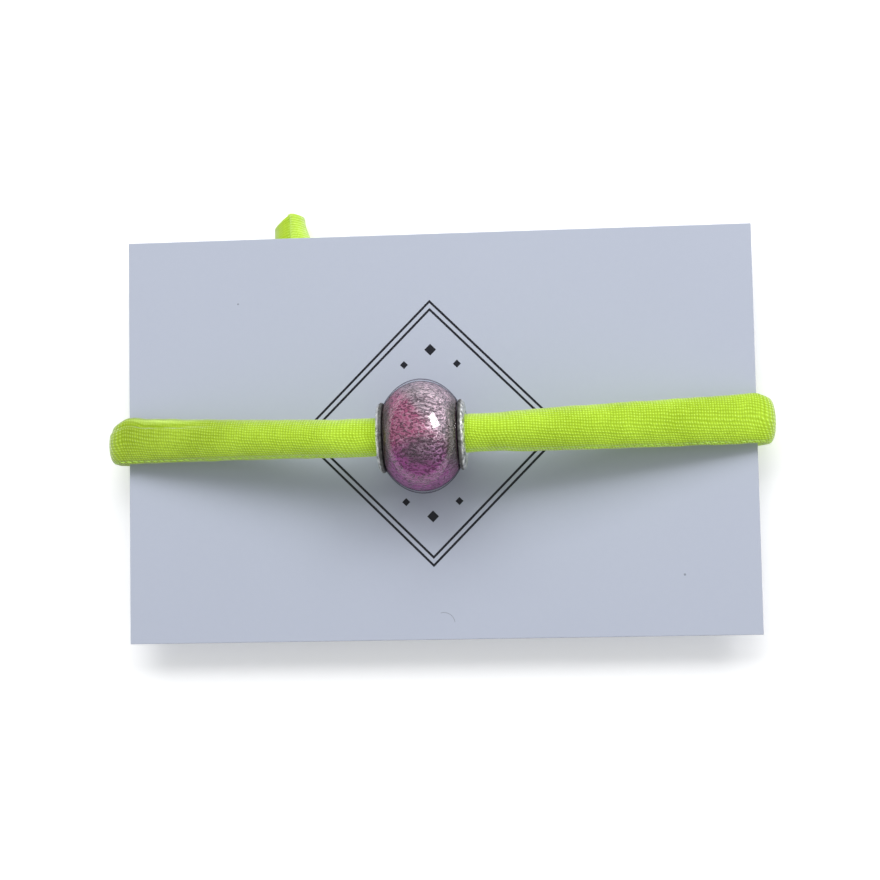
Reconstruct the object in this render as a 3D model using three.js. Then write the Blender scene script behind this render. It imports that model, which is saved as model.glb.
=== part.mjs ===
import * as THREE from 'three';

// A bead bracelet on its display card: an elastic fabric cord threaded through a large-hole glass
// bead, stretched round a paper card and tied behind it in one overhand knot.
// Millimetres. +X runs along the card's long side, +Y towards the edge that the cord's cut tails
// pass, and +Z up from the table. The cord's back, the knot and the tails lie on the table, the
// card lies on them with its printed face up, and the bead stands on the card.

// ---- Driving dimensions ----
const GAP = 0.3; // clearance between pieces that touch

const CARD_LENGTH = 85;
const CARD_WIDTH = 55;
const CARD_THICKNESS = 0.4;
const CARD_UNDERSIDE = 5.2;
const CARD_CORNER = 0.4;

const BEAD_RADIUS = 7.5;
const BEAD_HALF_LENGTH = 4.75; // of the glass, without the eyelets
const BEAD_CURVE = 6; // half-axis, along the bead, of the ellipse that its wall follows
const BEAD_X = -1.6;
const BEAD_Y = -0.75;
const BEAD_TURN = THREE.MathUtils.degToRad(1.2);
const CASING_THICKNESS = 0.6;
const FOIL_THICKNESS = 0.25;
const GLASS_GAP = 0.15;
const EYELET_BORE = 2.8;
const EYELET_WALL = 0.3;
const EYELET_FLANGE = 4.58;
const EYELET_REACH = 1.05; // how far each eyelet stands out of the glass
const EYELET_PLAY = 0.2;

const CORD_DIAMETER = 5.1; // where it is round, inside the bead
const COVER_WALL = 0.5;
const FILLER_PLAY = 0.2;
const LEVEL_HALF = 10; // half of the cord's level stretch, which the bead slides on
const CORD_LIFT = 0.13; // how far the cord runs off the bead's axis towards +Y
const RIGHT_WRAP = { side: 1, thickness: 2.2, width: 6.7, y: 1.05, spread: 0.6 };
const LEFT_WRAP = { side: -1, thickness: 2.7, width: 6, y: -0.2, spread: 1.5 };
const WRAP_UNDER_RADIUS = 4; // the cord's turn from the card's edge to its underside

const KNOT = { x: -20.3, y: 1.6, halfLength: 5.5, halfWidth: 4.75, thickness: 4.9, bevel: 1.5 };
const KNOT_ENTRY = { y: 0.5, width: 5.2, thickness: 4.4 }; // the cord where it goes into the knot
const TAIL_START_Y = 6.8;
const LEFT_TAIL = { x: -22.65, tipX: -21.65, tipWidth: 2.2, endY: 30.2, slant: 0.85 };
const RIGHT_TAIL = { x: -18.15, tipX: -18.75, tipWidth: 2.8, endY: 30.8, slant: -0.5 };
const TAIL_WIDTH = 4.2;
const TAIL_HEIGHT = 4.4;

const COVER_SIDES = 12;
const FILLER_SIDES = 10;
const LATHE_STEPS = 32;
const BARREL_STEPS = 8;

const { lerp, smoothstep } = THREE.MathUtils;
const cardTop = CARD_UNDERSIDE + CARD_THICKNESS;
const beadAxisZ = cardTop + GAP + BEAD_RADIUS;

const part = new THREE.Group();

function add(parent, name, geometry, color, roughness, metalness) {
  const material = new THREE.MeshStandardMaterial({ color, roughness, metalness });
  const mesh = new THREE.Mesh(geometry, material);
  mesh.name = name;
  parent.add(mesh);
  return mesh;
}

// ---- Display card: one rectangle of thick paper ----
function roundedRectangle(length, width, corner) {
  const x = length / 2;
  const y = width / 2;
  const shape = new THREE.Shape();
  shape.absarc(x - corner, y - corner, corner, 0, Math.PI / 2);
  shape.absarc(-x + corner, y - corner, corner, Math.PI / 2, Math.PI);
  shape.absarc(-x + corner, -y + corner, corner, Math.PI, Math.PI * 1.5);
  shape.absarc(x - corner, -y + corner, corner, Math.PI * 1.5, Math.PI * 2);
  return shape;
}

const cardOutline = roundedRectangle(CARD_LENGTH, CARD_WIDTH, CARD_CORNER);
const cardSolid = new THREE.ExtrudeGeometry(cardOutline, {
  depth: CARD_THICKNESS,
  bevelEnabled: false,
  curveSegments: 3,
});
const card = add(part, 'display_card', cardSolid, 0xc6cad8, 0.75, 0);
card.position.z = CARD_UNDERSIDE;

// ---- Cord: a knitted cover round soft filler yarn, as a run of cross-sections ----
// One station is a point that the cord's middle passes, and how wide and thick it is there.
function station(x, y, z, width, thickness) {
  return { at: new THREE.Vector3(x, y, z), width, thickness, slant: 0 };
}

// A ring of section points with a flat side up and another down.
function sectionRing(sides, radius) {
  return Array.from({ length: sides }, (_, k) => {
    const angle = ((k + 0.5) * 2 * Math.PI) / sides;
    return new THREE.Vector2(radius * Math.cos(angle), radius * Math.sin(angle));
  });
}

// Squares a ring point off the flatter the cord is pressed, and scales it to the half sizes.
function pressed(u, v, halfWidth, halfThickness, sides) {
  const squareness = 2 + 3.2 * Math.max(0, 1 - halfThickness / halfWidth);
  const power = 2 / squareness;
  const flat = Math.cos(Math.PI / sides) ** power;
  const stretch = (c) => (Math.sign(c) * Math.abs(c) ** power) / flat;
  return [stretch(u) * halfWidth, stretch(v) * halfThickness];
}

// A straight extrusion with a section at every station, bent onto the stations. `side` is the
// direction of the cord's width, `inset` shrinks the section, and `wall` makes it a tube.
function cordSolid(stations, { side, sides, inset = 0, wall = 0 }) {
  const innerMark = 0.5;
  const section = new THREE.Shape(sectionRing(sides, 1));
  if (wall > 0) {
    section.holes.push(new THREE.Path(sectionRing(sides, innerMark)));
  }
  const steps = stations.length - 1;
  const solid = new THREE.ExtrudeGeometry(section, { depth: steps, steps, bevelEnabled: false });
  const points = solid.getAttribute('position');
  const point = new THREE.Vector3();
  for (let i = 0; i < points.count; i += 1) {
    const index = Math.round(points.getZ(i));
    const here = stations[index];
    const before = stations[Math.max(index - 1, 0)].at;
    const after = stations[Math.min(index + 1, steps)].at;
    const along = after.clone().sub(before).normalize();
    const up = along.clone().cross(side).normalize();
    const radius = Math.hypot(points.getX(i), points.getY(i));
    const shrink = inset + (radius < (1 + innerMark) / 2 ? wall : 0);
    const [across, over] = pressed(
      points.getX(i) / radius,
      points.getY(i) / radius,
      here.width / 2 - shrink,
      here.thickness / 2 - shrink,
      sides,
    );
    point.copy(here.at).addScaledVector(side, across).addScaledVector(up, over);
    point.addScaledVector(along, here.slant * across);
    points.setXYZ(i, point.x, point.y, point.z);
  }
  return solid;
}

// The level stretch through the bead, from its -X end to its +X end.
const levelStretch = [-1, -0.5, 0, 0.5, 1].map((share) => {
  const run = share * LEVEL_HALF;
  const x = BEAD_X + run * Math.cos(BEAD_TURN);
  const y = BEAD_Y + CORD_LIFT + run * Math.sin(BEAD_TURN);
  return station(x, y, beadAxisZ, CORD_DIAMETER, CORD_DIAMETER);
});

// The slope from the level stretch down to the card's edge, where the cord is pressed flat.
function slope(from, wrap, steps) {
  const endX = wrap.side * (wrapX(wrap) - topRadius(wrap));
  const endZ = cardTop + GAP + wrap.thickness / 2;
  return Array.from({ length: steps }, (_, i) => {
    const share = (i + 1) / steps;
    return station(
      lerp(from.x, endX, share),
      lerp(from.y, wrap.y, share),
      lerp(from.z, endZ, share),
      lerp(CORD_DIAMETER, wrap.width, share ** wrap.spread),
      lerp(CORD_DIAMETER, wrap.thickness, share ** 1.3),
    );
  });
}

// The turn round the card's edge, from the printed face to the underside: a tight quarter turn
// over the edge, then a wide one below it.
function wrapX(wrap) {
  return CARD_LENGTH / 2 + GAP + wrap.thickness / 2;
}

function topRadius(wrap) {
  return wrap.thickness / 2 + GAP;
}

function turn(wrap) {
  const quarter = (centreX, centreZ, radius, fromAngle) =>
    [1, 2, 3, 4].map((i) => {
      const angle = fromAngle - (i * Math.PI) / 8;
      const x = wrap.side * (centreX + radius * Math.cos(angle));
      const z = centreZ + radius * Math.sin(angle);
      return station(x, wrap.y, z, wrap.width, wrap.thickness);
    });
  const top = topRadius(wrap);
  const low = WRAP_UNDER_RADIUS;
  return [
    ...quarter(wrapX(wrap) - top, cardTop + GAP + wrap.thickness / 2 - top, top, Math.PI / 2),
    ...quarter(wrapX(wrap) - low, wrap.thickness / 2 + low, low, 0),
  ];
}

// The back of the loop, flat on the table, from below the card's edge to the knot's side.
function back(wrap, steps) {
  const startX = wrap.side * (wrapX(wrap) - WRAP_UNDER_RADIUS);
  const endX = KNOT.x + wrap.side * (KNOT.halfLength + GAP);
  return Array.from({ length: steps }, (_, i) => {
    const share = (i + 1) / steps;
    const thickness = lerp(wrap.thickness, KNOT_ENTRY.thickness, smoothstep(share, 0, 1));
    return station(
      lerp(startX, endX, share),
      lerp(wrap.y, KNOT_ENTRY.y, share),
      thickness / 2,
      lerp(wrap.width, KNOT_ENTRY.width, smoothstep(share, 0, 1)),
      thickness,
    );
  });
}

const loop = [
  ...back(RIGHT_WRAP, 11).reverse(),
  ...turn(RIGHT_WRAP).reverse(),
  ...slope(levelStretch.at(-1).at, RIGHT_WRAP, 8).reverse(),
  ...levelStretch.toReversed(),
  ...slope(levelStretch.at(0).at, LEFT_WRAP, 7),
  ...turn(LEFT_WRAP),
  ...back(LEFT_WRAP, 4),
];
const ALONG_CARD = new THREE.Vector3(1, 0, 0);
const ACROSS_CARD = new THREE.Vector3(0, 1, 0);
const coverSection = { sides: COVER_SIDES, wall: COVER_WALL };
const fillerSection = { sides: FILLER_SIDES, inset: COVER_WALL + FILLER_PLAY };
const bandCover = cordSolid(loop, { side: ACROSS_CARD, ...coverSection });
const bandFiller = cordSolid(loop, { side: ACROSS_CARD, ...fillerSection });
add(part, 'band_cover', bandCover, 0xb4ea3c, 0.8, 0);
add(part, 'band_filler', bandFiller, 0xe6e8d8, 0.9, 0);

// ---- Knot: both ends of the cord in one overhand knot, pressed to the height below the card ----
const knotOutline = new THREE.Shape();
const knotBevel = KNOT.bevel;
knotOutline.absellipse(
  0, 0, KNOT.halfLength - knotBevel, KNOT.halfWidth - knotBevel, 0, Math.PI * 2, false, 0,
);
const knotSolid = new THREE.ExtrudeGeometry(knotOutline, {
  depth: KNOT.thickness - 2 * knotBevel,
  bevelThickness: knotBevel,
  bevelSize: knotBevel,
  bevelSegments: 3,
  curveSegments: 10,
});
const knot = add(part, 'knot', knotSolid, 0xaee238, 0.8, 0);
knot.position.set(KNOT.x, KNOT.y, knotBevel);

// ---- Tails: the two cut ends, side by side under the card and out past its edge ----
function tailStations(tail) {
  const steps = 8;
  return Array.from({ length: steps + 1 }, (_, i) => {
    const share = i / steps;
    const height = TAIL_HEIGHT;
    const y = lerp(TAIL_START_Y, tail.endY, share);
    const x = lerp(tail.x, tail.tipX, smoothstep(share, 0, 1));
    const width = lerp(TAIL_WIDTH, tail.tipWidth, smoothstep(share, 0, 1));
    const cut = station(x, y, height / 2, width, height);
    cut.slant = tail.slant * smoothstep(share, 0.6, 1);
    return cut;
  });
}

for (const [name, tail] of [['tail_left', LEFT_TAIL], ['tail_right', RIGHT_TAIL]]) {
  const stations = tailStations(tail);
  const cover = cordSolid(stations, { side: ALONG_CARD, ...coverSection });
  const filler = cordSolid(stations, { side: ALONG_CARD, ...fillerSection });
  add(part, `${name}_cover`, cover, 0xb4ea3c, 0.8, 0);
  add(part, `${name}_filler`, filler, 0xe6e8d8, 0.9, 0);
}

// ---- Bead: layers of glass round a bore, with a metal eyelet in each mouth ----
const bead = new THREE.Group();
bead.position.set(BEAD_X, BEAD_Y, beadAxisZ);
bead.rotation.z = BEAD_TURN - Math.PI / 2; // the lathe's axis lies along the cord
part.add(bead);

// The wall of the bead, `depth` below its surface at the belly, from one end to the other.
function barrelWall(depth) {
  return Array.from({ length: BARREL_STEPS + 1 }, (_, i) => {
    const along = lerp(-BEAD_HALF_LENGTH, BEAD_HALF_LENGTH, i / BARREL_STEPS);
    const radius = (BEAD_RADIUS - depth) * Math.sqrt(1 - (along / BEAD_CURVE) ** 2);
    return new THREE.Vector2(radius, along);
  });
}

// A ring turned from a closed profile: up its outer wall and back down its inner wall.
function turned(outer, inner) {
  const profile = [...outer, ...inner.toReversed(), outer[0]];
  return new THREE.LatheGeometry(profile, LATHE_STEPS);
}

const foilOuter = CASING_THICKNESS + GLASS_GAP;
const foilInner = foilOuter + FOIL_THICKNESS;
const baseOuter = foilInner + GLASS_GAP;
const glassBore = EYELET_BORE + EYELET_WALL + EYELET_PLAY;
const boreWall = [-1, 1].map((end) => new THREE.Vector2(glassBore, end * BEAD_HALF_LENGTH));
const casing = turned(barrelWall(0), barrelWall(CASING_THICKNESS));
const foil = turned(barrelWall(foilOuter), barrelWall(foilInner));
const base = turned(barrelWall(baseOuter), boreWall);
add(bead, 'glass_casing', casing, 0xe9dfe8, 0.05, 0);
add(bead, 'foil_layer', foil, 0xb07a9c, 0.3, 0.8);
add(bead, 'glass_base', base, 0x8a3f78, 0.15, 0);

// One eyelet: a tube pressed into the bore, with a domed flange rolled back over the glass.
const flangeSeat = BEAD_HALF_LENGTH + GLASS_GAP;
const flangeTop = BEAD_HALF_LENGTH + EYELET_REACH;
const shankEnd = GLASS_GAP / 2;
const shankRadius = EYELET_BORE + EYELET_WALL;
const eyeletOuter = [
  [shankRadius, shankEnd],
  [shankRadius, flangeSeat],
  [EYELET_FLANGE - 0.1, flangeSeat],
  [EYELET_FLANGE, flangeSeat + 0.15],
  [EYELET_FLANGE - 0.2, flangeTop - 0.5],
  [EYELET_FLANGE - 0.7, flangeTop - 0.15],
  [EYELET_BORE + 0.6, flangeTop],
].map(([radius, along]) => new THREE.Vector2(radius, along));
const eyeletInner = [
  [EYELET_BORE, shankEnd],
  [EYELET_BORE, flangeTop - 0.4],
  [EYELET_BORE + 0.2, flangeTop - 0.1],
].map(([radius, along]) => new THREE.Vector2(radius, along));
const eyelet = turned(eyeletOuter, eyeletInner);
for (const [name, turnOver] of [['eyelet_right', 0], ['eyelet_left', Math.PI]]) {
  const mesh = add(bead, name, eyelet.clone(), 0xc9c9c6, 0.25, 1);
  mesh.rotation.x = turnOver;
}

// The origin is the middle of the footprint, on the surface that the part lies on.
const middle = new THREE.Box3().setFromObject(part, true).getCenter(new THREE.Vector3());
part.position.set(-middle.x, -middle.y, 0);

export default part;
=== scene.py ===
import math

import bmesh
import bpy
import numpy as np
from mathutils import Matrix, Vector


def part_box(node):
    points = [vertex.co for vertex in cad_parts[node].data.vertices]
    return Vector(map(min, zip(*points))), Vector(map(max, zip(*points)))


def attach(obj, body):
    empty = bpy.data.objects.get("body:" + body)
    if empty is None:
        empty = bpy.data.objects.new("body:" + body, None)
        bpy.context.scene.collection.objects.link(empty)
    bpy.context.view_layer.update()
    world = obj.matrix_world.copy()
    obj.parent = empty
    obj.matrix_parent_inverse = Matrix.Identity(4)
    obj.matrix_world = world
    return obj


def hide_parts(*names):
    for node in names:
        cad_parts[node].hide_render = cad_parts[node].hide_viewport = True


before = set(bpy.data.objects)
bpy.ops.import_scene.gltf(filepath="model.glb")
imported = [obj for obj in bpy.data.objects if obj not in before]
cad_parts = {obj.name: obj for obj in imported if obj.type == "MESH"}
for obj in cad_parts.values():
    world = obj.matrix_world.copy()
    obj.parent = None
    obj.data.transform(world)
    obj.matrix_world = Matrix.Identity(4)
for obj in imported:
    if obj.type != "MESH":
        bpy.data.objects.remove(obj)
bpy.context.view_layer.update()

# Table, light and camera.
# The bracelet lies on a white table, lit by a soft window from its upper right, whose glint is a
# lamp of its own, and by pale light from all round. The camera looks almost straight down.
MM = 0.001
LENS_MM, SENSOR_MM = 72.36, 36
CAMERA_FROM_CARD = (18.74 * MM, -19.06 * MM, 237.3 * MM)
CAMERA_TILT = (0.0755, 0.0797, -0.0181)
TABLE_REACH = 1.5
card_low, card_high = (np.array(corner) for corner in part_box("display_card"))
card_middle = (card_low + card_high) / 2
card_top = float(card_high[2])
card_face = np.array([card_middle[0], card_middle[1], card_top])

for block in (bpy.data.cameras, bpy.data.lights):
    for item in list(block):
        block.remove(item)

camera = bpy.data.objects.new("camera", bpy.data.cameras.new("camera"))
camera.data.sensor_width = SENSOR_MM
camera.data.lens = LENS_MM
camera.data.clip_start = 5 * MM
camera.location = card_face + CAMERA_FROM_CARD
camera.rotation_euler = CAMERA_TILT
bpy.context.scene.collection.objects.link(camera)
bpy.context.scene.camera = camera
bpy.context.scene.view_settings.view_transform = "Standard"
bpy.context.scene.view_settings.look = "None"


def soft_light(name, direction, distance, width, height, power):
    """A rectangular soft white light that looks at the middle of the card."""
    lamp = bpy.data.lights.new(name, "AREA")
    lamp.shape = "RECTANGLE"
    lamp.size = width
    lamp.size_y = height
    lamp.energy = power
    holder = bpy.data.objects.new(name, lamp)
    aim = np.array(direction) / np.linalg.norm(direction)
    holder.location = card_face + aim * distance
    holder.rotation_euler = Vector(aim).to_track_quat("Z", "Y").to_euler()
    bpy.context.scene.collection.objects.link(holder)
    return holder


window = soft_light(
    "window", (0.55, 0.55, 0.66), distance=0.55, width=0.24, height=0.18, power=0.83)
window.visible_glossy = False
window_glint = soft_light(
    "window_glint", (0.68, 0.43, 0.60), distance=0.55, width=0.26, height=0.20, power=2.0)
window_glint.visible_diffuse = False
sky_panel = soft_light(
    "sky_panel", (-0.16, 0.66, 0.73), distance=0.9, width=0.8, height=0.45, power=5.6)
sky_panel.visible_glossy = False

world = bpy.context.scene.world or bpy.data.worlds.new("studio")
bpy.context.scene.world = world
world.use_nodes = True
sky = world.node_tree
heading = sky.nodes.new("ShaderNodeSeparateXYZ")
sky.links.new(sky.nodes.new("ShaderNodeTexCoord").outputs["Generated"], heading.inputs[0])
paler_above = sky.nodes.new("ShaderNodeMapRange")
sky.links.new(heading.outputs["Z"], paler_above.inputs["Value"])
for socket, amount in (("From Min", -0.1), ("From Max", 0.75), ("To Min", 0.14), ("To Max", 0.62)):
    paler_above.inputs[socket].default_value = amount
sky.links.new(paler_above.outputs["Result"], sky.nodes["Background"].inputs["Strength"])
sky.nodes["Background"].inputs["Color"].default_value = (0.97, 0.985, 1, 1)


class Value:
    """A number or vector inside a finish, with Python's operators as Math nodes."""

    def __init__(self, finish, socket):
        self.finish, self.socket = finish, socket

    def maths(self, operation, *others):
        return self.finish.maths(operation, self, *others)

    def __add__(self, other): return self.maths("ADD", other)
    def __radd__(self, other): return self.finish.maths("ADD", other, self)
    def __sub__(self, other): return self.maths("SUBTRACT", other)
    def __rsub__(self, other): return self.finish.maths("SUBTRACT", other, self)
    def __mul__(self, other): return self.maths("MULTIPLY", other)
    def __truediv__(self, other): return self.maths("DIVIDE", other)
    def __pow__(self, other): return self.maths("POWER", other)
    def __abs__(self): return self.maths("ABSOLUTE")

    def sine(self): return self.maths("SINE")
    def above(self, edge): return self.maths("GREATER_THAN", edge)
    def below(self, edge): return self.maths("LESS_THAN", edge)
    def least(self, other): return self.maths("MINIMUM", other)
    def most(self, other): return self.maths("MAXIMUM", other)

    def ramp(self, low, high, start=0.0, end=1.0):
        """Runs smoothly from start at low to end at high."""
        return self.finish.node(
            "ShaderNodeMapRange", {"interpolation_type": "SMOOTHSTEP"},
            {"Value": self, "From Min": low, "From Max": high, "To Min": start, "To Max": end})


class Finish:
    """One material: its nodes are made by type, settings and sockets."""

    def __init__(self, name):
        self.material = bpy.data.materials.new(name)
        self.material.use_nodes = True
        self.tree = self.material.node_tree
        self.tree.nodes.clear()
        self.output = self.tree.nodes.new("ShaderNodeOutputMaterial")

    def node(self, kind, settings=None, sockets=None, out=0):
        made = self.tree.nodes.new(kind)
        for key, value in (settings or {}).items():
            setattr(made, key, value)
        for key, value in (sockets or {}).items():
            socket = made.inputs[key]
            if isinstance(value, Value):
                self.tree.links.new(value.socket, socket)
            elif socket.type == "RGBA":
                socket.default_value = (*value, 1)
            else:
                socket.default_value = value
        return Value(self, made.outputs[out])

    def maths(self, operation, *values):
        return self.node(
            "ShaderNodeMath", {"operation": operation}, dict(enumerate(values)))

    def mix(self, share, first, second, how="MIX"):
        return self.node(
            "ShaderNodeMix", {"data_type": "RGBA", "blend_type": how},
            {0: share, 6: first, 7: second}, out=2)

    def place(self, uv=None):
        """The x, y and z of a point in millimetres, or its place in a UV map."""
        if uv:
            point = self.node("ShaderNodeUVMap", {"uv_map": uv})
        else:
            point = self.node("ShaderNodeTexCoord", out="Object")
            point = self.node(
                "ShaderNodeVectorMath", {"operation": "SCALE"}, {0: point, "Scale": 1000.0})
        split = self.node("ShaderNodeSeparateXYZ", {}, {0: point})
        outs = split.socket.node.outputs
        return point, *(Value(self, socket) for socket in outs)

    def noise(self, vector, scale, detail=2.0, rough=0.5):
        return self.node(
            "ShaderNodeTexNoise", {},
            {"Vector": vector, "Scale": scale, "Detail": detail, "Roughness": rough})

    def bump(self, height, distance, strength=1.0, normal=None):
        sockets = {"Height": height, "Distance": distance, "Strength": strength}
        if normal is not None:
            sockets["Normal"] = normal
        return self.node("ShaderNodeBump", {}, sockets)

    def surface(self, shader):
        self.tree.links.new(shader.socket, self.output.inputs["Surface"])
        return self.material

    def principled(self, **sockets):
        named = {key.replace("_", " "): value for key, value in sockets.items()}
        return self.node("ShaderNodeBsdfPrincipled", {}, named)


def new_piece(name, mesh, material, body, rounded=True):
    """An object at the origin with one material, riding on a body."""
    piece = bpy.data.objects.new(name, mesh)
    bpy.context.scene.collection.objects.link(piece)
    mesh.materials.clear()
    mesh.materials.append(material)
    if rounded:
        mesh.polygons.foreach_set("use_smooth", [True] * len(mesh.polygons))
    if body:
        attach(piece, body)
    return piece


table_finish = Finish("white_table")
grain = table_finish.noise(table_finish.place()[0], 0.4, 3)
table_tone = table_finish.mix(grain, (0.93, 0.93, 0.935), (0.95, 0.95, 0.95))
table_mesh = bpy.data.meshes.new("table")
table_mesh.from_pydata(
    [(x * TABLE_REACH, y * TABLE_REACH, 0) for x, y in ((-1, -1), (1, -1), (1, 1), (-1, 1))],
    [], [(0, 1, 2, 3)])
table = new_piece(
    "table", table_mesh,
    table_finish.surface(table_finish.principled(
        Base_Color=table_tone, Roughness=0.9, Emission_Color=table_tone,
        Emission_Strength=0.20)),
    None)

# Cord loop.
# A tube of fine ribbed elastic knit round soft yarn, about 5 mm across. It is threaded through
# the bead, stretched over both short edges of the card, and pressed flat where it turns.
CORD = 5.1 * MM
GAP = 0.3 * MM
RIB = 0.37 * MM
STITCHES_ROUND = 46
FRONT_STITCH, RIBS_SLANTED = 34.0, 11
STEP = 0.36 * MM
PARTS_PER_SPAN = 24
SQUARE_BELOW, SQUARE_ABOVE = 2.2, 0.35
SLANT_FROM = 0.7
LEVEL_HALF = 10 * MM
LEVEL_Y = -0.62 * MM
BEAD_TURN = math.radians(1.2)
WRAPS = {
    1: dict(thickness=2.2 * MM, width=6.7 * MM, y=1.05 * MM, spread=0.6, pinch=0.5 * MM),
    -1: dict(thickness=2.45 * MM, width=6.3 * MM, y=0.0, spread=1.5, pinch=1.0 * MM)}
BEND_STEPS = 5
LOW_BEND = 4 * MM
AT_KNOT = dict(y=0.5 * MM, width=5.2 * MM, thickness=4.4 * MM)
KNOT_REACH = 3.2 * MM
GATHER, GATHER_RUN = 1.7 * MM, 5.0 * MM
LIFT = 0.05 * MM
ACROSS_CARD = (0, 1, 0)
bead_low, bead_high = (np.array(corner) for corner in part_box("glass_casing"))
bead_middle = (bead_low + bead_high) / 2
knot_low, knot_high = (np.array(corner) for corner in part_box("knot"))
knot_middle = (knot_low + knot_high) / 2


def eased(share):
    return share * share * (3 - 2 * share)


def between(first, second, share):
    return first + (second - first) * share


def bend(wrap, side, centre_x, centre_z, radius, begin, held):
    """A quarter turn round the card's edge, pinched as much as held says at each step."""
    stations = []
    for i in range(1, BEND_STEPS + 1):
        angle = begin - i * math.pi / 2 / BEND_STEPS
        pinch = wrap["pinch"] * held(i / BEND_STEPS)
        stations.append((
            side * (centre_x + radius * math.cos(angle)), wrap["y"] - pinch / 2,
            centre_z + radius * math.sin(angle), wrap["width"] - pinch, wrap["thickness"]))
    return stations


def cord_stations():
    """The cord's middle, width and thickness, from the knot's +X side round to its -X side."""
    half_card = (card_high[0] - card_low[0]) / 2
    level = []
    for share in (-1, -0.5, 0, 0.5, 1):
        run = share * LEVEL_HALF
        level.append((
            bead_middle[0] - card_middle[0] + run * math.cos(BEAD_TURN),
            LEVEL_Y + run * math.sin(BEAD_TURN), bead_middle[2], CORD, CORD))
    sides = {}
    for side, wrap in WRAPS.items():
        edge = half_card + GAP + wrap["thickness"] / 2
        top_bend = GAP + wrap["thickness"] / 2
        start = level[-1] if side > 0 else level[0]
        end = (side * (edge - top_bend), wrap["y"], card_top + top_bend)
        run = []
        for share in np.arange(1, 10) / 9:
            run.append((
                *(between(a, b, share) for a, b in zip(start[:3], end)),
                between(CORD, wrap["width"], share ** wrap["spread"]),
                between(CORD, wrap["thickness"], share ** 1.3)))
        run += bend(wrap, side, edge - top_bend, end[2] - top_bend, top_bend, math.pi / 2,
                    lambda share: math.sin(share * math.pi / 2))
        run += bend(wrap, side, edge - LOW_BEND, wrap["thickness"] / 2 + LOW_BEND, LOW_BEND, 0,
                    lambda share: 1 - eased(share))
        begin_x = side * (edge - LOW_BEND)
        stop_x = knot_middle[0] - card_middle[0] + side * KNOT_REACH
        steps = 28 if side > 0 else 12
        for share in np.arange(1, steps + 1) / steps:
            to_knot = abs(stop_x - begin_x) * (1 - share)
            gather = GATHER * eased(max(0.0, 1 - to_knot / GATHER_RUN))
            thick = between(wrap["thickness"], AT_KNOT["thickness"], eased(share))
            width = between(wrap["width"], AT_KNOT["width"], eased(share))
            run.append((
                between(begin_x, stop_x, share), between(wrap["y"], AT_KNOT["y"], share),
                thick / 2, width - gather, thick - gather * 0.6))
        sides[side] = run
    stations = np.array(sides[1][::-1] + level[::-1] + sides[-1])
    stations[:, :2] += card_middle[:2]
    stations[:, 2] += LIFT * (stations[:, 2] < 0.5 * card_top)
    return stations


def refined(stations, step):
    """Evenly spaced stations on the Catmull-Rom curve through the given ones."""
    runs = []
    for i in range(len(stations) - 1):
        a, b = stations[max(i - 1, 0)], stations[i]
        c, d = stations[i + 1], stations[min(i + 2, len(stations) - 1)]
        span = np.linalg.norm((c - b)[:3])
        before = max(np.linalg.norm((b - a)[:3]), 1e-9)
        after = max(np.linalg.norm((d - c)[:3]), 1e-9)
        slope_b = ((c - b) / span + ((b - a) / before if i else (c - b) / span)) / 2 * span
        last = i + 2 >= len(stations)
        slope_c = ((c - b) / span + ((c - b) / span if last else (d - c) / after)) / 2 * span
        for t in np.linspace(0, 1, PARTS_PER_SPAN, endpoint=False):
            t2, t3 = t * t, t ** 3
            runs.append(
                (2 * t3 - 3 * t2 + 1) * b + (t3 - 2 * t2 + t) * slope_b
                + (3 * t2 - 2 * t3) * c + (t3 - t2) * slope_c)
    runs.append(stations[-1])
    runs = np.array(runs)
    lengths = np.linalg.norm(np.diff(runs[:, :3], axis=0), axis=1)
    length = np.concatenate([[0], np.cumsum(lengths)])
    even = np.linspace(0, length[-1], max(2, int(round(length[-1] / step)) + 1))
    return np.stack([np.interp(even, length, runs[:, k]) for k in range(runs.shape[1])], 1), even


def directions(centres, side):
    """At each centre, the way along, across and up. Without a side, across stays level."""
    along = np.gradient(centres, axis=0)
    along /= np.linalg.norm(along, axis=1)[:, None]
    if side is None:
        side = np.cross(along, (0, 0, 1))
        side /= np.linalg.norm(side, axis=1)[:, None]
    else:
        side = np.tile(np.array(side, float), (len(centres), 1))
    up = np.cross(along, side)
    up /= np.linalg.norm(up, axis=1)[:, None]
    return along, side, up


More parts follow.
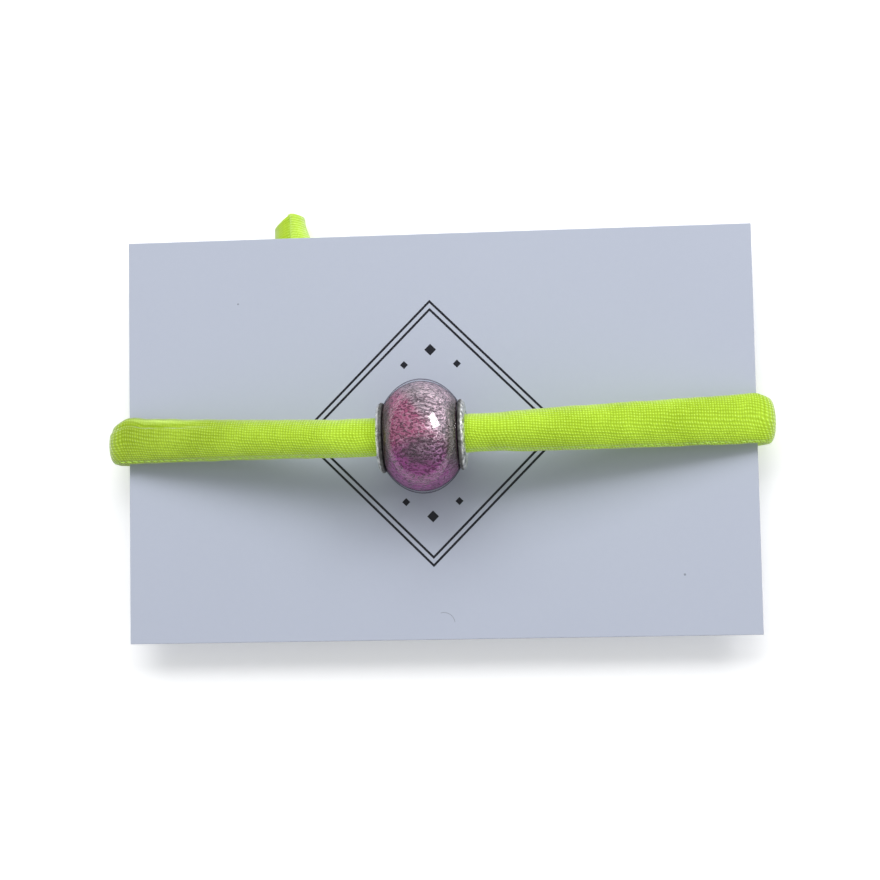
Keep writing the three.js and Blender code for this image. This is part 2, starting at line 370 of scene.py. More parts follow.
def knit_tube(name, stations, step, side, shape, slant=0.0, caps=True, sides=48, twist=0.0):
    """A tube mesh along stations, with a UV map that counts stitches round and ribs along."""
    fine, even = refined(stations, step)
    centres = fine[:, :3]
    along, side, up = directions(centres, side)
    angles = (np.arange(sides) + 0.5) * 2 * math.pi / sides
    rings = []
    for i, (centre, width, thick) in enumerate(zip(centres, fine[:, 3], fine[:, 4])):
        squareness = SQUARE_BELOW if centre[2] < thick * 0.52 else SQUARE_ABOVE
        power = 2 / (2 + squareness * max(0.0, 1 - thick / width))
        u = np.sign(np.cos(angles)) * np.abs(np.cos(angles)) ** power
        v = np.sign(np.sin(angles)) * np.abs(np.sin(angles)) ** power
        swell = shape(even[i], angles)
        ring = centre + np.outer(u * swell * width / 2, side[i]) + np.outer(
            v * swell * thick / 2, up[i])
        if slant:
            share = max(0.0, (i / (len(centres) - 1) - SLANT_FROM) / (1 - SLANT_FROM))
            ring += np.outer(u * width / 2 * slant * eased(share), along[i])
        rings.append(ring)
    vertices = np.array(rings).reshape(-1, 3)
    faces = []
    for i in range(len(centres) - 1):
        a, b = i * sides, (i + 1) * sides
        for k in range(sides):
            n = (k + 1) % sides
            faces.append((a + k, a + n, b + n, b + k))
    if caps:
        faces.append(tuple(range(sides))[::-1])
        last = (len(centres) - 1) * sides
        faces.append(tuple(last + k for k in range(sides)))
    mesh = bpy.data.meshes.new(name)
    mesh.from_pydata(vertices.tolist(), [], faces)
    uv = mesh.uv_layers.new(name="knit")
    cells = (len(centres) - 1) * sides
    rows = np.repeat(np.arange(len(centres) - 1), sides)
    columns = np.tile(np.arange(sides), len(centres) - 1)
    corners = np.zeros((len(mesh.loops), 2))
    for corner, (dk, di) in enumerate(((0, 0), (1, 0), (1, 1), (0, 1))):
        place = even[rows + di] / RIB
        corners[corner:cells * 4:4, 0] = (columns + dk) / sides * STITCHES_ROUND + place * twist
        corners[corner:cells * 4:4, 1] = place
    uv.data.foreach_set("uv", corners.ravel())
    mesh.validate()
    mesh.update()
    return mesh, centres, even


fine, even = refined(cord_stations(), STEP)
LEFT_FOLD = float(even[np.argmin(fine[:, 0])]) - 7.5 * MM
FOLD_ANGLE = math.radians(313)
CREASE_ANGLE = math.radians(200)
TUCK = (FOLD_ANGLE / (2 * math.pi) * STITCHES_ROUND, LEFT_FOLD / MM)
# The knit's colour, the darker colour of its painted shade and random mottle, and the colour of
# its painted highlights.
NEON = (0.395, 0.61, 0.036)
NEON_SHADE = (0.215, 0.335, 0.006)
NEON_PAINTED_HIGHLIGHT = (0.60, 0.82, 0.20)


def knit_finish(name, bright, shade, tip, glow):
    """Neon elastic knit: ribs across the cord, each a row of small stitches, and a tucked fold.
    Its colour holds painted shade between the stitches and in the fold, painted highlights on the
    stitch tops and along the fold's edge, and a painted glow.
    """
    finish = Finish(name)
    _, u, v, _ = finish.place("knit")
    space, across_card, _, _ = finish.place()
    drift = finish.noise(space, 0.9, 2) - 0.5
    lean = finish.noise(space, 0.28, 1) - 0.5
    slanted = (FRONT_STITCH - u).most(0) * (RIBS_SLANTED / FRONT_STITCH)
    ribs = (((v + slanted) * math.pi + drift * 1.3).sine()) ** 2
    beads = (((u - v * 0.07) * math.pi + drift * 1.6 + lean * 4).sine()) ** 2
    knitted = ribs * 0.22 + beads * 0.20 + ribs * beads * 0.58
    fuzz = finish.noise(space, 7.0, 4, 0.65)
    mottle = finish.noise(space, 1.9, 3, 0.6)
    patch = finish.noise(space, 0.16, 2)
    # The tone turns to the shade colour in the hollows between stitches, which is painted shade,
    # and in random patches, which is the knit's own uneven tone.
    tone = knitted * 0.60 + fuzz * 0.50 + mottle * 0.42 + (patch - 0.5) * 0.6
    colour = finish.mix(tone.ramp(0.30, 1.12), shade, bright)
    # Painted highlights in the tip colour on the tops of the stitches.
    colour = finish.mix((knitted * fuzz * 1.9).ramp(0.70, 1.20) * 0.55, colour, tip)
    # Painted shade: the knit grows darker towards the card's left end.
    painted_shade_to_left = finish.mix(1.0, colour, (0.74, 0.71, 0.76), "MULTIPLY")
    colour = finish.mix(across_card.ramp(8.0, -42.0) ** 2, colour, painted_shade_to_left)
    from_tuck = abs(v * RIB / MM - TUCK[1])
    # Painted shade in the tucked fold, and a painted highlight along its folded edge.
    painted_fold_shade = (1 - abs(u - TUCK[0]) * 0.9).most(0) * (1 - from_tuck / 6.5).most(0)
    painted_hem_highlight = (1 - abs(u - TUCK[0] - 1.5) * 0.9).most(0) * (1 - from_tuck / 7.0).most(0)
    colour = finish.mix(painted_fold_shade * 0.55, colour, shade)
    colour = finish.mix(painted_hem_highlight * 0.6, colour, tip)
    bump = finish.bump(knitted + fuzz * 0.5 + mottle * 0.6, 0.12 * MM, 0.75)
    # The emission is a painted glow: it lightens the knit's shaded sides and tints the card beside
    # it.
    return finish.surface(finish.principled(
        Base_Color=colour, Roughness=0.82, Normal=bump, Sheen_Weight=0.8,
        Sheen_Roughness=0.4, Emission_Color=colour, Emission_Strength=glow,
        Specular_IOR_Level=0.2))


neon_knit = knit_finish("neon_knit", NEON, NEON_SHADE, NEON_PAINTED_HIGHLIGHT, 0.46)


def hump(at, middle, width):
    """A smooth rise to 1 at the middle."""
    return np.exp(-((at - middle) / width) ** 2)


def pressed_cord(run, angles):
    """Small lasting dents of a soft cord, and a crease along its sewn edge."""
    slow = 0.006 * math.sin(run * 900 + 1.3) + 0.004 * math.sin(run * 2300 + 0.4)
    lumps = 0.006 * np.sin(3 * angles + run * 700) + 0.004 * np.sin(5 * angles - run * 1500)
    crease = -0.045 * hump(angles, CREASE_ANGLE, 0.10)
    fold = hump(run, LEFT_FOLD, 6.0 * MM) * (
        0.02 * hump(angles, FOLD_ANGLE + 0.30, 0.16)
        + 0.05 * hump(angles, FOLD_ANGLE - 0.26, 0.16)
        - 0.26 * hump(angles, FOLD_ANGLE, 0.13))
    return 0.990 + slow + lumps + crease + fold


loop_mesh, loop_path, loop_run = knit_tube(
    "cord_loop", cord_stations(), STEP, ACROSS_CARD, pressed_cord)
cord_loop = new_piece("cord_loop", loop_mesh, neon_knit, "band")
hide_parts("band_cover")

# Seam.
# The knit is folded into a tube and closed with one row of small slanting stitches of thin
# polyester thread, which runs along the cord's lower edge.
THREAD_ANGLE = math.radians(201)
SUNK = 0.965


def seam_points():
    """Where the seam lies, sunk a little into the crease along the cord's lower edge."""
    fine, _ = refined(cord_stations(), 0.3 * MM)
    _, side, up = directions(fine[:, :3], ACROSS_CARD)
    power = 2 / (2 + SQUARE_ABOVE * np.clip(1 - fine[:, 4] / fine[:, 3], 0, None))
    across = abs(math.cos(THREAD_ANGLE)) ** power * fine[:, 3] / 2 * SUNK
    over = abs(math.sin(THREAD_ANGLE)) ** power * fine[:, 4] / 2 * SUNK
    return fine[:, :3] - across[:, None] * side - over[:, None] * up


seam_line = seam_points()
seam_curve = bpy.data.curves.new("seam_line", "CURVE")
seam_curve.dimensions = "3D"
spline = seam_curve.splines.new("POLY")
spline.points.add(len(seam_line) - 1)
spline.points.foreach_set(
    "co", np.concatenate([seam_line, np.ones((len(seam_line), 1))], 1).ravel())
seam_guide = bpy.data.objects.new("seam_guide", seam_curve)
bpy.context.scene.collection.objects.link(seam_guide)


class Tree:
    """A Geometry Nodes tree with named inputs, built one node at a time."""

    def __init__(self, name, **inputs):
        self.tree = bpy.data.node_groups.new(name, "GeometryNodeTree")
        face = self.tree.interface
        face.new_socket("Geometry", in_out="INPUT", socket_type="NodeSocketGeometry")
        face.new_socket("Geometry", in_out="OUTPUT", socket_type="NodeSocketGeometry")
        self.sockets = {}
        for key, value in inputs.items():
            is_material = isinstance(value, bpy.types.Material)
            kind = "NodeSocketMaterial" if is_material else "NodeSocketFloat"
            self.sockets[key] = (face.new_socket(key, in_out="INPUT", socket_type=kind), value)
        self.start = self.tree.nodes.new("NodeGroupInput")
        self.end = self.tree.nodes.new("NodeGroupOutput")

    def given(self, name):
        return self.start.outputs[name]

    def node(self, kind, settings=None, sockets=None, out=0):
        made = self.tree.nodes.new(kind)
        for key, value in (settings or {}).items():
            setattr(made, key, value)
        for key, value in (sockets or {}).items():
            if isinstance(value, bpy.types.NodeSocket):
                self.tree.links.new(value, made.inputs[key])
            else:
                made.inputs[key].default_value = value
        return made.outputs[out]

    def mesh_from(self, guide, name, last):
        """Runs the tree on an object, and returns its result as a plain mesh."""
        self.tree.links.new(last, self.end.inputs[0])
        modifier = guide.modifiers.new(name, "NODES")
        modifier.node_group = self.tree
        for socket, value in self.sockets.values():
            modifier[socket.identifier] = value
        bpy.context.view_layer.update()
        found = guide.evaluated_get(bpy.context.evaluated_depsgraph_get())
        mesh = bpy.data.meshes.new_from_object(found)
        mesh.name = name
        guide.modifiers.remove(modifier)
        bpy.data.objects.remove(guide)
        return mesh


thread = Finish("seam_thread")
thread_space = thread.place()[0]
thread_tone = thread.mix(
    thread.noise(thread_space, 2.5, 2), (0.42, 0.74, 0.05), (0.66, 0.98, 0.16))
thread_bump = thread.bump(thread.noise(thread_space, 14.0, 2), 0.03 * MM)
# The thread's faint emission is a painted glow.
thread_material = thread.surface(thread.principled(
    Base_Color=thread_tone, Roughness=0.6, Normal=thread_bump, Sheen_Weight=0.2,
    Emission_Color=thread_tone, Emission_Strength=0.05))

stitching = Tree(
    "seam_stitches", Pitch=0.95 * MM, Length=0.88 * MM, Thickness=0.15 * MM, Slant=0.18,
    Thread=thread_material)
spaced = stitching.node(
    "GeometryNodeResampleCurve", {"mode": "LENGTH"},
    {"Curve": stitching.given("Geometry"), "Length": stitching.given("Pitch")})
lie = stitching.node(
    "FunctionNodeAlignEulerToVector", {"axis": "X"},
    {"Vector": stitching.node("GeometryNodeInputTangent")})
slanted = stitching.node(
    "FunctionNodeRotateEuler", {"rotation_type": "AXIS_ANGLE", "space": "LOCAL"},
    {"Rotation": lie, "Axis": (0, 0, 1), "Angle": stitching.given("Slant")})
size = stitching.node(
    "ShaderNodeCombineXYZ", {},
    {0: stitching.given("Length"), 1: stitching.given("Thickness"),
     2: stitching.given("Thickness")})
bit = stitching.node(
    "GeometryNodeMeshUVSphere", {}, {"Segments": 8, "Rings": 6, "Radius": 0.5})
laid = stitching.node(
    "GeometryNodeInstanceOnPoints", {},
    {"Points": spaced, "Instance": bit, "Rotation": slanted, "Scale": size})
whole = stitching.node("GeometryNodeRealizeInstances", {}, {0: laid})
dressed = stitching.node(
    "GeometryNodeSetMaterial", {}, {"Geometry": whole, "Material": stitching.given("Thread")})
seam = new_piece(
    "cord_seam", stitching.mesh_from(seam_guide, "cord_seam", dressed), thread_material, "band")

# Knot.
# Both ends of the cord are laid together and tied in one overhand knot, drawn tight, so that
# the soft cord is squeezed thin where it crosses itself.
KNOT_CORD = 3.3 * MM
FLATTENED = 0.94
turns = np.linspace(0, 2 * math.pi, 97)
ring = np.stack([
    np.sin(turns) + 2 * np.sin(2 * turns),
    np.cos(turns) - 2 * np.cos(2 * turns),
    -np.sin(3 * turns)], 1)
ring_low, ring_high = ring.min(0), ring.max(0)
room = (knot_high - knot_low) - KNOT_CORD * np.array([1.0, 1.0, 0.98])
ring = (ring - (ring_low + ring_high) / 2) / (ring_high - ring_low) * room + knot_middle
ring[:, 2] -= 0.02 * MM
knot_sizes = np.tile([KNOT_CORD, KNOT_CORD * FLATTENED], (len(ring), 1))


def squeezed(run, angles):
    return 0.98 + 0.03 * np.sin(4 * angles + run * 1900) + 0.02 * math.sin(run * 2600)


knot_mesh, _, _ = knit_tube(
    "tied_knot", np.concatenate([ring, knot_sizes], 1), STEP, None, squeezed, caps=False,
    twist=0.1)
tied_knot = new_piece("tied_knot", knot_mesh, neon_knit, "band")
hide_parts("knot")

# Yarn filler.
# The knit is drawn over a bundle of soft pale yarn. It fills the loop, and shows only at the
# snipped ends.
yarn = Finish("filler_yarn")
yarn_space = yarn.place()[0]
yarn_tone = yarn.mix(
    yarn.noise(yarn_space, 3.0, 3), (0.62, 0.78, 0.30), (0.86, 0.92, 0.62))
yarn_material = yarn.surface(yarn.principled(
    Base_Color=yarn_tone, Roughness=0.9,
    Normal=yarn.bump(yarn.noise(yarn_space, 11.0, 3), 0.08 * MM), Sheen_Weight=0.3))
core_stations = cord_stations()
core_stations[:, 3:5] -= 1.5 * MM
loop_yarn_mesh, _, _ = knit_tube(
    "loop_yarn", core_stations, 0.9 * MM, ACROSS_CARD, pressed_cord, sides=28, twist=0.3)
loop_yarn = new_piece("loop_yarn", loop_yarn_mesh, yarn_material, "band")
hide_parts("band_filler")

# Tails.
# The two cut ends of the cord come out of the knot side by side and pass the card's edge. Each
# is snipped aslant, so that the knit's raw edge rolls in round the loose yarn.
TAILS = {
    "left": dict(
        inner=-19.7, sign=-1, base=3.05, width=3.00, slant=0.74, end_y=30.42, phase=0.3),
    "right": dict(
        inner=-20.9, sign=1, base=3.85, width=2.45, slant=-0.20, end_y=31.15, phase=2.1)}
TAIL_ROWS = 25
TAIL_START = 5.6
TAIL_WIDTH, TAIL_THICK, CUT_THICK = 4.3, 4.4, 3.8
NEAR_CUT = 0.78
RIM_STEPS = ((0.92, 0.10), (0.86, 0.04), (0.80, -0.25), (0.76, -1.6), (0.10, -1.7))
STRANDS, STRAND_RINGS, STRAND_SIDES = 46, 9, 6
STRAND_RADIUS, STRAND_STEP = 0.15 * MM, 0.8 * MM
GOLDEN_TURN = 2.39996
strand_draw = np.random.default_rng(41)
# Painted light: the tails wear lighter copies of the cord's knit, the right one lighter still.
lighter_tail_knits = {
    "left": knit_finish(
        "lit_tail_knit", (0.42, 0.63, 0.045), (0.24, 0.37, 0.006), (0.68, 0.88, 0.24), 0.44),
    "right": knit_finish(
        "brighter_lit_tail_knit", (0.52, 0.78, 0.10), (0.36, 0.56, 0.03), (0.78, 0.95, 0.36), 0.42)}


def tail_rows(tail):
    """A tail's middle, width and thickness, from the knot to its cut end."""
    rows = []
    for share in np.arange(TAIL_ROWS) / (TAIL_ROWS - 1):
        near_cut = eased(max(0.0, share - NEAR_CUT) / (1 - NEAR_CUT))
        width = between(TAIL_WIDTH, tail["base"], eased(share))
        width = between(width, tail["width"], near_cut)
        thick = between(TAIL_THICK, CUT_THICK, near_cut)
        rows.append((
            tail["inner"] + tail["sign"] * width / 2, between(TAIL_START, tail["end_y"], share),
            thick / 2 + 0.03, width, thick))
    rows = np.array(rows) * MM
    rows[:, :2] += card_middle[:2]
    return rows


def slack(phase):
    """A loose cord's shallow hollows and ripples."""
    def shape(run, angles):
        sag = 0.03 * np.sin(2 * angles + phase) * math.sin(run * 260 + phase)
        return 0.97 + sag + 0.012 * np.sin(5 * angles + run * 1100 + phase)
    return shape


def grown_rim(work, rim):
    """Grows a strip of faces out of a rim, and returns its new edges and their points."""
    grown = bmesh.ops.extrude_edge_only(work, edges=rim)["geom"]
    rim = [item for item in grown if isinstance(item, bmesh.types.BMEdge)]
    return rim, {vert for edge in rim for vert in edge.verts}


def finished(work, mesh):
    """The worked faces, turned outwards and put into the mesh."""
    bmesh.ops.recalc_face_normals(work, faces=work.faces)
    work.to_mesh(mesh)
    work.free()
    return mesh


def rolled_in(mesh, cut_y):
    """A tube whose raw edge at the cut end rolls in."""
    work = bmesh.new()
    work.from_mesh(mesh)
    rim = [edge for edge in work.edges if edge.is_boundary
           and min(vert.co.y for vert in edge.verts) > cut_y - 3 * MM]
    middle = np.mean([vert.co for edge in rim for vert in edge.verts], axis=0)
    scale = 1.0
    for inward, back in RIM_STEPS:
        rim, verts = grown_rim(work, rim)
        for vert in verts:
            vert.co.x = middle[0] + (vert.co.x - middle[0]) * inward / scale
            vert.co.z = middle[2] + (vert.co.z - middle[2]) * inward / scale
            vert.co.y += back * MM
        scale = inward
    return finished(work, mesh)


def strand_bundle(name, cut_end, slant):
    """The loose strands of yarn inside a tail's cut end."""
    middle_x, cut_y, middle_z, width, thick = cut_end
    points, faces = [], []
    for i in range(STRANDS):
        spread, turn = math.sqrt((i + 0.5) / STRANDS) * 0.72, i * GOLDEN_TURN
        across_x = spread * math.cos(turn) * width / 2
        across_z = spread * math.sin(turn) * thick / 2
        tip = cut_y + across_x * slant + (strand_draw.uniform(-0.3, 0.3) - 0.45) * MM
        start = len(points)
        for k in range(STRAND_RINGS):
            sway = 0.05 * MM * math.sin(k * 1.4 + i)
            for corner in range(STRAND_SIDES):
                angle = corner * 2 * math.pi / STRAND_SIDES
                points.append((
                    middle_x + across_x + sway + STRAND_RADIUS * math.cos(angle),
                    tip - (STRAND_RINGS - 1 - k) * STRAND_STEP,
                    middle_z + across_z + STRAND_RADIUS * math.sin(angle)))
        last = len(points) - STRAND_SIDES
        for a in range(start, last):
            b = a + 1 if (a + 1 - start) % STRAND_SIDES else a + 1 - STRAND_SIDES
            faces.append((a, a + STRAND_SIDES, b + STRAND_SIDES, b))
        faces.append(tuple(range(start, start + STRAND_SIDES)))
        faces.append(tuple(range(last, last + STRAND_SIDES))[::-1])
    mesh = bpy.data.meshes.new(name)
    mesh.from_pydata(points, [], faces)
    return mesh


for side_name, tail in TAILS.items():
    rows = tail_rows(tail)
    mesh, _, _ = knit_tube(
        f"tail_{side_name}_knit", rows, 0.3 * MM, (1, 0, 0), slack(tail["phase"]),
        slant=tail["slant"], caps=False, twist=0.05)
    knit_tail = new_piece(
        f"tail_{side_name}_knit", rolled_in(mesh, rows[-1][1]), lighter_tail_knits[side_name], "band")
    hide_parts(f"tail_{side_name}_cover")
    strand_mesh = strand_bundle(f"tail_{side_name}_yarn", rows[-1], tail["slant"])
    strands = new_piece(f"tail_{side_name}_yarn", strand_mesh, yarn_material, "band")
    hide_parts(f"tail_{side_name}_filler")

# Glass casing.
# The bead is lampworked: a tinted core, rolled in silver foil and cased in clear glass. The
# casing is a little uneven. Where it is seen edge on it carries a painted dark rim, which stands
# in for the dark surroundings seen through it.
axis = np.array([math.cos(BEAD_TURN), math.sin(BEAD_TURN), 0.0])
across = np.array([-math.sin(BEAD_TURN), math.cos(BEAD_TURN), 0.0])
RADIUS, HALF, CURVE = 7.5 * MM, 4.75 * MM, 6.0 * MM


def turned_ring(name, profile, steps, wander):
    """A closed ring turned about the bead's axis from a closed (radius, along) profile."""
    profile = np.array(profile)
    angles = np.arange(steps) * 2 * math.pi / steps
    count = len(profile)
    radius = np.repeat(profile[:, 0][None], steps, 0)
    along = np.repeat(profile[:, 1][None], steps, 0)
    radius = radius + wander(angles[:, None], along, radius)
    spots = (bead_middle + along[..., None] * axis
             + (radius * np.cos(angles)[:, None])[..., None] * across
             + (radius * np.sin(angles)[:, None])[..., None] * np.array([0, 0, 1.0]))
    faces = []
    for a in range(steps):
        b = (a + 1) % steps
        for k in range(count):
            n = (k + 1) % count
            faces.append((a * count + k, b * count + k, b * count + n, a * count + n))
    mesh = bpy.data.meshes.new(name)
    mesh.from_pydata(spots.reshape(-1, 3).tolist(), [], faces)
    work = bmesh.new()
    work.from_mesh(mesh)
    return finished(work, mesh)


def barrel(depth, half, steps):
    """The wall of the bead at a depth under its surface, from one end to the other."""
    along = np.linspace(-half, half, steps)
    return [((RADIUS - depth) * math.sqrt(1 - (w / CURVE) ** 2), w) for w in along]


def hand_made(angle, along, radius):
    """The slight waves of glass shaped by hand."""
    wave = np.sin(2 * angle + along * 300 + 0.6) + 0.6 * np.sin(5 * angle - along * 500)
    return 0.018 * MM * wave


glass = Finish("casing_glass")
glass_space = glass.place()[0]
glass_bump = glass.bump(glass.noise(glass_space, 0.30, 1), 0.14 * MM, 0.5)
clear = glass.node("ShaderNodeBsdfTransparent", {}, {"Color": (0.985, 0.975, 0.985)})
# Painted shade: a dark tint that the casing takes where it is seen edge on.
painted_dark_rim = glass.node("ShaderNodeBsdfTransparent", {}, {"Color": (0.27, 0.24, 0.29)})
gloss = glass.node(
    "ShaderNodeBsdfGlossy", {}, {"Color": (1, 1, 1), "Roughness": 0.05, "Normal": glass_bump})
edge = glass.node("ShaderNodeLayerWeight", {}, {"Blend": 0.5, "Normal": glass_bump}, out=1)
body_glass = glass.node(
    "ShaderNodeMixShader", {}, {0: edge.ramp(0.72, 0.98), 1: clear, 2: painted_dark_rim})
casing_material = glass.surface(glass.node(
    "ShaderNodeMixShader", {}, {0: edge ** 5 * 0.09 + 0.038, 1: body_glass, 2: gloss}))
casing_profile = barrel(0, HALF, 49) + barrel(0.30 * MM, HALF, 49)[::-1]
casing = new_piece(
    "bead_casing", turned_ring("bead_casing", casing_profile, 144, hand_made), casing_material,
    "bead_glass")
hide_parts("glass_casing")

# Glitter foil.
# Silver foil over the tinted core has crazed into fine crinkles. It is pink, turns plum lower
# down and silvery at the upper right. Its colour also holds a painted dark reflection low in the
# middle, painted shade at both ends, and painted highlights and shade on the crinkles.
PINK = (0.43, 0.085, 0.205)
PLUM = (0.38, 0.065, 0.295)
SILVER = (0.30, 0.265, 0.295)
HOLLOW = (0.030, 0.008, 0.020)
PAINTED_DARK_REFLECTION = (0.055, 0.012, 0.040)
END_SHADE = (0.045, 0.049, 0.016)


def crazed(angle, along, radius):
    """The crinkles of foil stretched over the glass."""
    fold = np.sin(23 * angle + 4 * np.sin(along * 900)) * np.sin(along * 2600 + 3 * angle)
    return 0.02 * MM * fold + hand_made(angle, along, radius)


def from_middle(finish, middle):
    """A point, and how far it lies from a middle along X and Y, in millimetres."""
    point, x, y, _ = finish.place()
    return point, x - float(middle[0] / MM), y - float(middle[1] / MM)


foil = Finish("glitter_foil")
foil_space, off_x, off_y = from_middle(foil, bead_middle)
warp = foil.noise(foil_space, 0.35, 3) - 0.5
rippled = foil.node(
    "ShaderNodeMapping", {}, {"Vector": foil_space, "Scale": (0.75, 1.7, 1.7)})
worms = foil.noise(rippled, 1.7, 0.8, 0.5)
fine_worms = foil.noise(foil_space, 4.2, 2, 0.5)
flake = foil.node(
    "ShaderNodeTexVoronoi", {"feature": "F1"}, {"Vector": foil_space, "Scale": 4.5}, out=1)
sparkle = foil.node("ShaderNodeSeparateColor", {}, {0: flake})

lower = (off_y * -1 + warp * 3.0).ramp(0.4, 3.4)
silvery = (off_x * 0.9 + off_y * 0.75 + warp * 3.5).ramp(1.0, 3.2) * (1 - lower * 0.8)
# A painted reflection of the dark camera above, low in the middle of the bead.
painted_reflection_spot = ((off_x - 1.2) ** 2 * 0.14 + (off_y + 2.2) ** 2 * 0.5 + warp * 2.4).ramp(2.8, 0.3)
# Painted shade in the troughs beside the crinkles, in the HOLLOW colour, which also darkens random
# pits.
painted_valley_shade = (1 - abs(worms - 0.42) * 10).most(0)
pit = foil.noise(foil_space, 1.6, 2).ramp(0.60, 0.74)
ridge = (1 - abs(worms - 0.56) * 13).most(0)
fine_ridge = (1 - abs(fine_worms - 0.58) * 8).most(0)
# Painted highlights: the glint colour on the crinkles' ridges and on flakes, stronger towards the
# window at the upper right.
painted_glint_side = 0.22 + (off_x * 0.7 + off_y * 0.25 + warp * 3.0).ramp(-0.4, 2.2) * 0.75
# Painted shade at both ends of the foil, beside the eyelets, where the casing's ends show dark
# surroundings.
painted_end_shade_band = abs(off_x - off_y * 0.02 + warp * 0.8).ramp(3.2, 4.2) * abs(off_y).ramp(6.5, 2.5)

foil_tone = foil.mix(lower, PINK, PLUM)
# The colour of the painted glints.
glint = foil.mix(lower, (0.92, 0.70, 0.80), (0.55, 0.28, 0.50))
for share, colour in (
        (silvery, SILVER), (painted_reflection_spot * 0.93, PAINTED_DARK_REFLECTION), (painted_valley_shade * 0.92, HOLLOW), (pit * 0.65, HOLLOW),
        ((ridge * 0.95 + fine_ridge * 0.25).least(1) * painted_glint_side, glint),
        (sparkle.ramp(0.86, 0.98) * 0.30, glint), (painted_end_shade_band * 0.85, END_SHADE)):
    foil_tone = foil.mix(share, foil_tone, colour)
foil_bump = foil.bump(worms * 1.6 + fine_worms * 0.6 + sparkle * 0.12, 0.22 * MM, 1.0)
foil_material = foil.surface(foil.principled(
    Base_Color=foil_tone, Metallic=0.5, Roughness=0.40, Specular_IOR_Level=0.18,
    Normal=foil_bump))
foil_profile = barrel(0.36 * MM, HALF - 0.03 * MM, 81)
foil_profile += barrel(0.9 * MM, HALF - 0.03 * MM, 25)[::-1]
foil_skin = new_piece(
    "bead_foil", turned_ring("bead_foil", foil_profile, 240, crazed), foil_material,
    "bead_glass")
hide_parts("foil_layer")

# Glass core.
# The tinted glass that was wound round a rod first, and that carries the foil. Only its ends
# show, beside the eyelets.
core = Finish("tinted_glass")
core_space = core.place()[0]
core_tone = core.mix(core.noise(core_space, 0.5, 2), (0.16, 0.04, 0.14), (0.30, 0.09, 0.26))
core_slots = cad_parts["glass_base"].data.materials
core_slots.clear()
core_slots.append(core.surface(core.principled(
    Base_Color=core_tone, Roughness=0.12, Coat_Weight=0.6,
    Normal=core.bump(core.noise(core_space, 1.2, 2), 0.05 * MM))))

# Eyelets.
# Two silver-plated brass eyelets, each a short tube in the hole and a domed flange rolled back
# over the glass. They are scratched and crinkled, and dull next to the glass.
SEAT, TOP = HALF + 0.15 * MM, HALF + 1.05 * MM
BORE, WALL, FLANGE = 2.8 * MM, 0.3 * MM, 4.58 * MM
ROLL, LIP_TURN = 1.3 * MM, -0.35
MOUTH_WIDTH, MOUTH_DEPTH = 0.48 * MM, 0.55 * MM
INNER_END = 0.1 * MM

plate = Finish("silver_plate")
plate_space, off_x, off_y = from_middle(plate, bead_middle)
stretched = plate.node(
    "ShaderNodeMapping", {}, {"Vector": plate_space, "Scale": (6.0, 1.2, 1.2)})
scratch = plate.noise(stretched, 3.0, 3, 0.65)
cloud = plate.noise(plate_space, 0.9, 3)
crinkle = plate.noise(plate_space, 1.5, 3, 0.6)
dull = abs(off_x * float(axis[0]) + off_y * float(axis[1])).ramp(5.52, 5.22)
plate_tone = plate.mix(cloud.ramp(0.35, 0.7), (0.97, 0.97, 0.94), (0.74, 0.74, 0.72))
plate_tone = plate.mix(crinkle.ramp(0.54, 0.40) * 0.75, plate_tone, (0.16, 0.16, 0.155))
plate_tone = plate.mix(dull * 0.85, plate_tone, (0.05, 0.05, 0.045))
plate_bump = plate.bump(crinkle, 0.30 * MM, 0.9, plate.bump(scratch, 0.02 * MM, 0.5))
plate_material = plate.surface(plate.principled(
    Base_Color=plate_tone, Metallic=0.7, Normal=plate_bump,
    Roughness=cloud * 0.2 + scratch * 0.12 + dull * 0.3 + 0.08))

eyelet_profile = [(BORE + WALL, INNER_END), (BORE + WALL, SEAT), (FLANGE - 0.25 * MM, SEAT)]
for turn in np.linspace(LIP_TURN, math.pi / 2, 19):
    eyelet_profile.append((
        FLANGE - ROLL + ROLL * max(0.0, math.cos(turn)) ** 0.8,
        SEAT + (TOP - SEAT) * (0.30 + 0.70 * math.sin(turn))))
for turn in np.arange(1, 9) / 8 * math.pi / 2:
    eyelet_profile.append((
        BORE + MOUTH_WIDTH * (1 - math.sin(turn)), TOP - MOUTH_DEPTH * (1 - math.cos(turn))))
eyelet_profile.append((BORE, INNER_END))


def rolled_over(angle, along, radius):
    """The uneven edge of a flange rolled over by hand."""
    rim_share = np.clip((radius - 3.6 * MM) / (0.9 * MM), 0, 1)
    wave = np.sin(19 * angle + along * 400) + 0.7 * np.sin(31 * angle - along * 900)
    return 0.035 * MM * rim_share * wave


for side_name, sign in (("right", 1), ("left", -1)):
    mesh = turned_ring(
        f"eyelet_{side_name}_rolled", [(r, w * sign) for r, w in eyelet_profile], 224,
        rolled_over)
    rolled = new_piece(f"eyelet_{side_name}_rolled", mesh, plate_material, "bead_core")
    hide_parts(f"eyelet_{side_name}")

# Display card.
# A standard visiting card of smooth heavy paper, guillotined square, with a plain frame of two
# thin lines and a few small lozenges printed on its face.
FRAME_MIDDLE, FRAME_LINES, LINE_HALF = (-1.0, 0.3), (17.9, 16.8), 0.22
LOZENGES = (
    (-4.6, 9.6, 0.55), (-1.0, 11.6, 0.8), (2.6, 9.6, 0.55),
    (-4.6, -9.0, 0.55), (-1.0, -11.0, 0.8), (2.6, -9.0, 0.55))
FLECKS = ((32.4, -19.4, 0.16), (-27.3, 18.6, 0.13))
HAIR_MIDDLE, HAIR_BEND, HAIR_HALF = (0.2, -25.4), 1.5, 0.045
EDGE_ROUND = 0.06 * MM
CLOSE = 1e-7

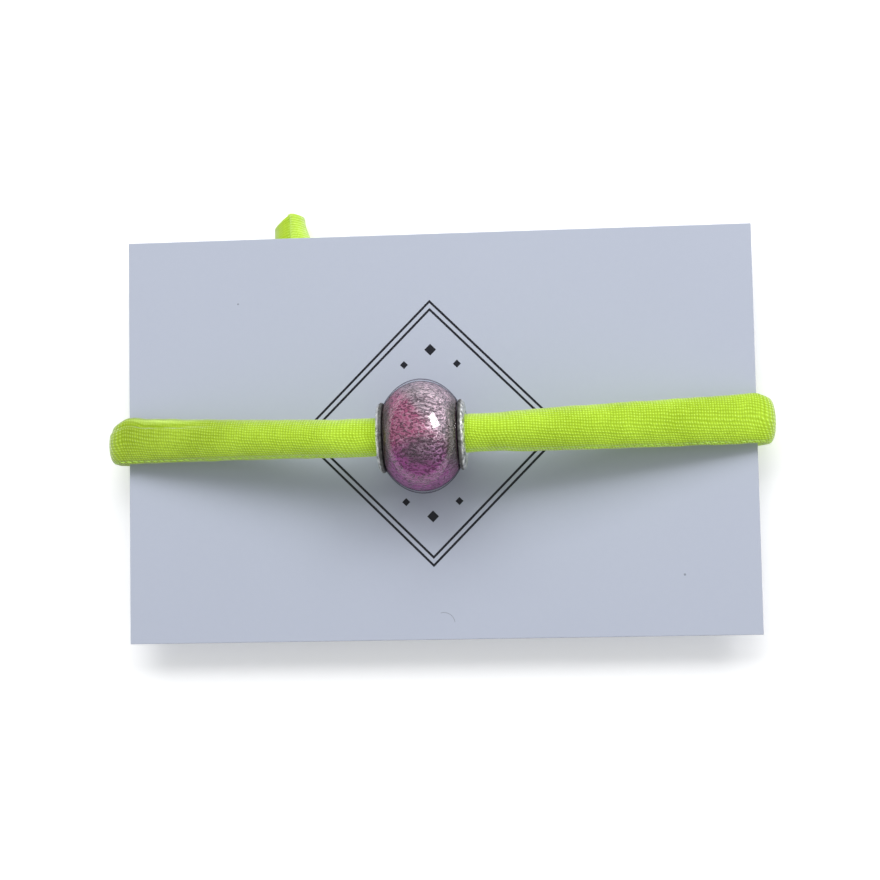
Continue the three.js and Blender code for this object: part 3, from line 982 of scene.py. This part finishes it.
paper = Finish("printed_card")
paper_space, off_x, off_y = from_middle(paper, card_middle)
lozenge = abs(off_x - FRAME_MIDDLE[0]) + abs(off_y - FRAME_MIDDLE[1])
outer, inner = (abs(lozenge - size).below(LINE_HALF) for size in FRAME_LINES)
printed = outer.most(inner)
for spot_x, spot_y, half in LOZENGES:
    printed = printed.most((abs(off_x - spot_x) + abs(off_y - spot_y)).below(half))
printed = printed * paper.place()[3].above(card_top / MM - 0.05)
fibres = paper.noise(paper_space, 1.3, 4, 0.6)
clouds = paper.noise(paper_space, 0.05, 2)
paper_tone = paper.mix(
    fibres * 0.5 + clouds * 0.5, (0.426, 0.459, 0.553), (0.456, 0.490, 0.581))
for spot_x, spot_y, half in FLECKS:
    away = (off_x - spot_x) ** 2 + (off_y - spot_y) ** 2
    paper_tone = paper.mix(away.below(half ** 2) * 0.55, paper_tone, (0.10, 0.11, 0.13))
bow = ((off_x - HAIR_MIDDLE[0]) ** 2 + (off_y - HAIR_MIDDLE[1]) ** 2) ** 0.5
hair = abs(bow - HAIR_BEND).below(HAIR_HALF) * off_x.above(-0.2) * off_y.above(-25.2)
paper_tone = paper.mix(hair * 0.5, paper_tone, (0.12, 0.13, 0.15))
ink_tone = paper.mix(fibres, (0.006, 0.007, 0.012), (0.012, 0.013, 0.02))
paper_tone = paper.mix(printed, paper_tone, ink_tone)
paper_bump = paper.bump(
    paper.noise(paper_space, 5.0, 3, 0.6) + printed * 0.2, 0.012 * MM, 0.5)
paper_material = paper.surface(paper.principled(
    Base_Color=paper_tone, Roughness=0.62 - printed * 0.15, Normal=paper_bump,
    Specular_IOR_Level=0.3))


def drawn_in(value, middle, half):
    """A coordinate, moved in by the edge's rounding if it lies on the card's outline."""
    on_outline = abs(abs(value - middle) - half) < CLOSE
    return value - math.copysign(EDGE_ROUND, value - middle) * on_outline


card_half = (card_high - card_low) / 2
card_grid = bmesh.new()
bmesh.ops.create_grid(card_grid, x_segments=120, y_segments=80, size=1.0)
for vert in card_grid.verts:
    vert.co = (card_middle[0] + vert.co.x * card_half[0],
               card_middle[1] + vert.co.y * card_half[1], card_top)
rim = [edge for edge in card_grid.edges if edge.is_boundary]
for drop in (EDGE_ROUND, card_high[2] - card_low[2] - EDGE_ROUND * 2, EDGE_ROUND):
    rim, verts = grown_rim(card_grid, rim)
    for vert in verts:
        vert.co.z -= drop
bmesh.ops.contextual_create(card_grid, geom=rim)
for vert in card_grid.verts:
    if min(card_high[2] - vert.co.z, vert.co.z - card_low[2]) < CLOSE:
        vert.co.x = drawn_in(vert.co.x, card_middle[0], card_half[0])
        vert.co.y = drawn_in(vert.co.y, card_middle[1], card_half[1])
card_mesh = finished(card_grid, bpy.data.meshes.new("paper_card"))
paper_card = new_piece("paper_card", card_mesh, paper_material, "card", rounded=False)
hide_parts("display_card")
